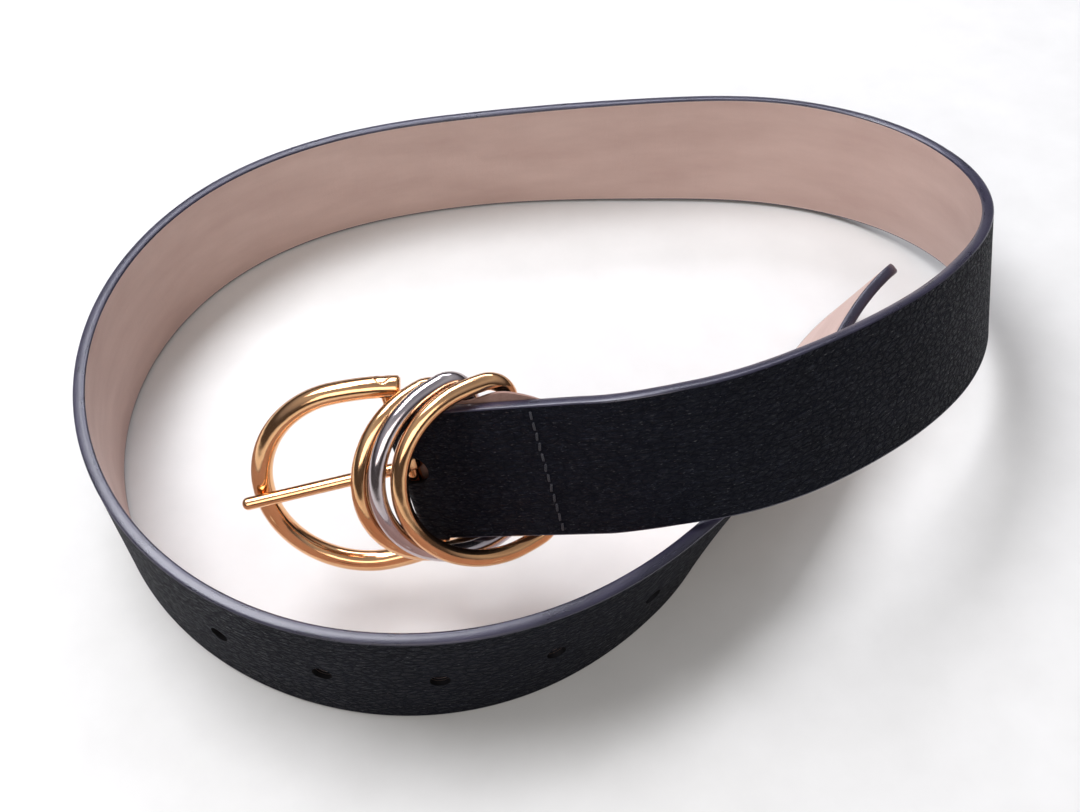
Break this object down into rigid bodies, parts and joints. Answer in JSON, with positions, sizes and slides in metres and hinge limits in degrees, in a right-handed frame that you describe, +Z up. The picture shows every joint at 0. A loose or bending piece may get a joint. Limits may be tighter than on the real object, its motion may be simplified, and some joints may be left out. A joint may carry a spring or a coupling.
{
  "type": "leather belt",
  "caption": "Black leather belt coiled on edge, lined strap with punched holes, horseshoe wire buckle with a round prong, and loose half-round keeper rings beside the bar.",
  "frame": {"origin": "centre of the coil's bounding box, on the floor it stands on", "axes": "+Z up, across the strap's width; +X along the coil's long side, to the right seen from the buckle side; +Y away from the buckle side"},
  "size_m": [0.2424, 0.182, 0.0693],
  "materials": {
    "outer_leather": "satin, fine pebbled grain",
    "filler_board": "matt bonded fibre",
    "lining_leather": "matt smooth",
    "thread": "waxed thread",
    "rose_gold_metal": "polished plating",
    "silver_metal": "polished plating"
  },
  "bodies": {
    "strap": {"strap_outer": "outer_leather", "strap_core": "filler_board", "strap_lining": "lining_leather", "cross_stitches": "thread"},
    "frame": {"buckle_frame": "rose_gold_metal", "buckle_bar": "rose_gold_metal"},
    "prong": {"prong": "rose_gold_metal"},
    "ring_1": {"ring_lower_gold": "rose_gold_metal"},
    "ring_2": {"ring_middle_silver": "silver_metal"},
    "ring_3": {"ring_upper_gold": "rose_gold_metal"}
  },
  "joints": [
    {"name": "frame_swing", "type": "hinge", "parent": "strap", "child": "frame", "pos_m": [-0.03426, -0.04688, 0.03522], "axis": [-0.206, 0.3597, 0.91], "range_deg": [-75, 0]},
    {"name": "prong_swing", "type": "hinge", "parent": "frame", "child": "prong", "pos_m": [-0.03426, -0.04688, 0.03522], "axis": [-0.206, 0.3597, 0.91], "range_deg": [0, 8]},
    {"name": "ring_3_slide", "type": "slide", "parent": "strap", "child": "ring_3", "axis": [0.936, -0.1989, 0.2905], "range_m": [0, 0.014]},
    {"name": "ring_2_slide", "type": "slide", "parent": "strap", "child": "ring_2", "axis": [0.936, -0.1989, 0.2905], "range_m": [0, 0.0105]},
    {"name": "ring_1_slide", "type": "slide", "parent": "strap", "child": "ring_1", "axis": [0.936, -0.1989, 0.2905], "range_m": [0, 0.007]}
  ],
  "couplings": [
    {"joint": "ring_2_slide", "follows": "ring_3_slide", "ratio": 0.75},
    {"joint": "ring_1_slide", "follows": "ring_3_slide", "ratio": 0.5}
  ]
}
